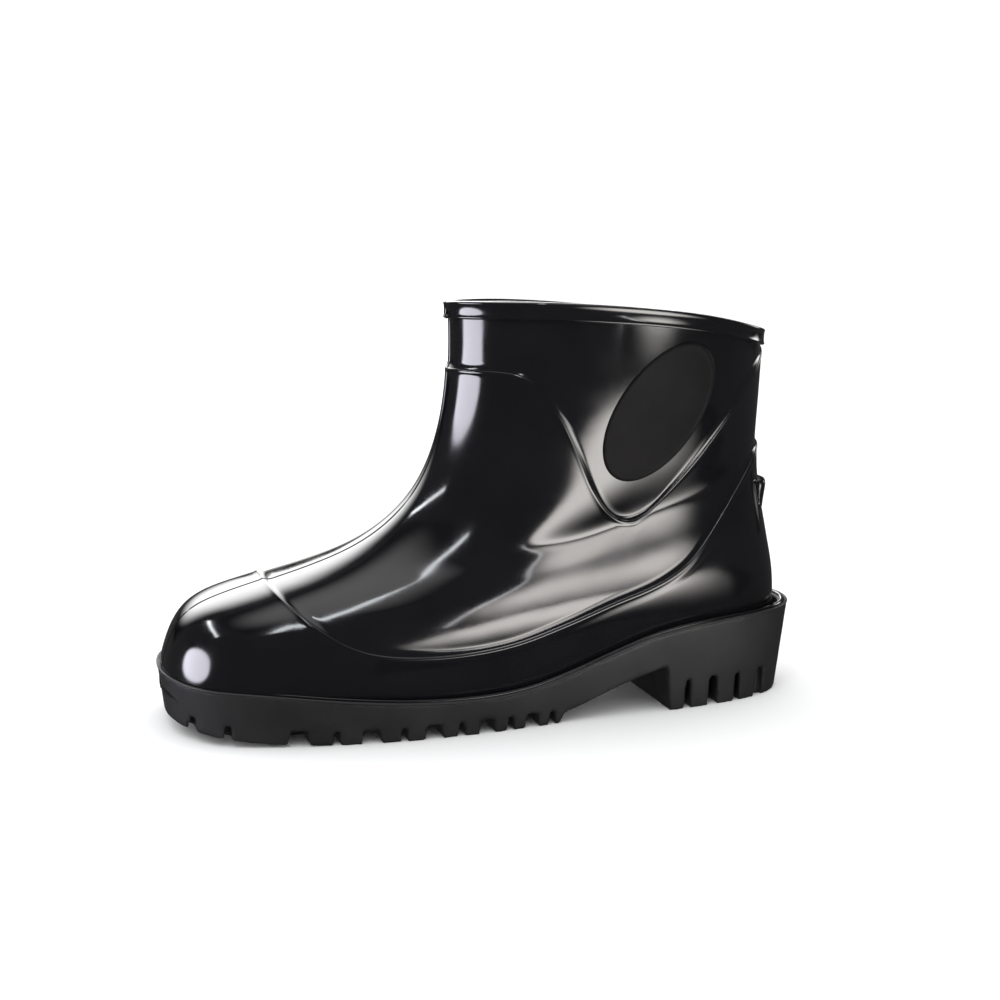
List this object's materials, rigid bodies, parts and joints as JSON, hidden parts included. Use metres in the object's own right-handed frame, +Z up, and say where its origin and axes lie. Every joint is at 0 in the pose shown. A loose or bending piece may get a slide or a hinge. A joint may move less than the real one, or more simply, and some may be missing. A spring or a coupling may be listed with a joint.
{
  "type": "rain boot",
  "caption": "Ankle-height rubber rain boot with toe cap, vamp panel, foxing, oval ankle pads, lugged heeled outsole, knitted lining and lift-out insole.",
  "frame": {"origin": "centre of the footprint's bounding box, on the ground", "axes": "+Z up, +X from toe to heel (toe at -X), the wearer's outer side faces -Y"},
  "size_m": [0.3, 0.1014, 0.1884],
  "materials": {
    "gloss_rubber": "gloss",
    "sole_rubber": "satin",
    "knit_lining": "matte",
    "insole_foam": "matte",
    "fibre_board": "matte",
    "stiffener": "matte",
    "shank_steel": "satin"
  },
  "bodies": {
    "boot": {"upper_shell": "gloss_rubber", "vamp_panel": "gloss_rubber", "foxing_band": "gloss_rubber", "rim_band": "gloss_rubber", "ankle_pad_outer": "gloss_rubber", "ankle_pad_inner": "gloss_rubber", "kick_lug": "gloss_rubber", "outsole": "sole_rubber", "heel_filler": "insole_foam", "shank": "shank_steel", "insole_board": "fibre_board", "toe_puff": "stiffener", "heel_counter": "stiffener", "lining_sock": "knit_lining"},
    "insole": {"insole_foam": "insole_foam", "insole_cover": "knit_lining"}
  },
  "joints": [
    {"name": "insole_lift", "type": "slide", "parent": "boot", "child": "insole", "axis": [0, 0, 1], "range_m": [0, 0.008]}
  ]
}
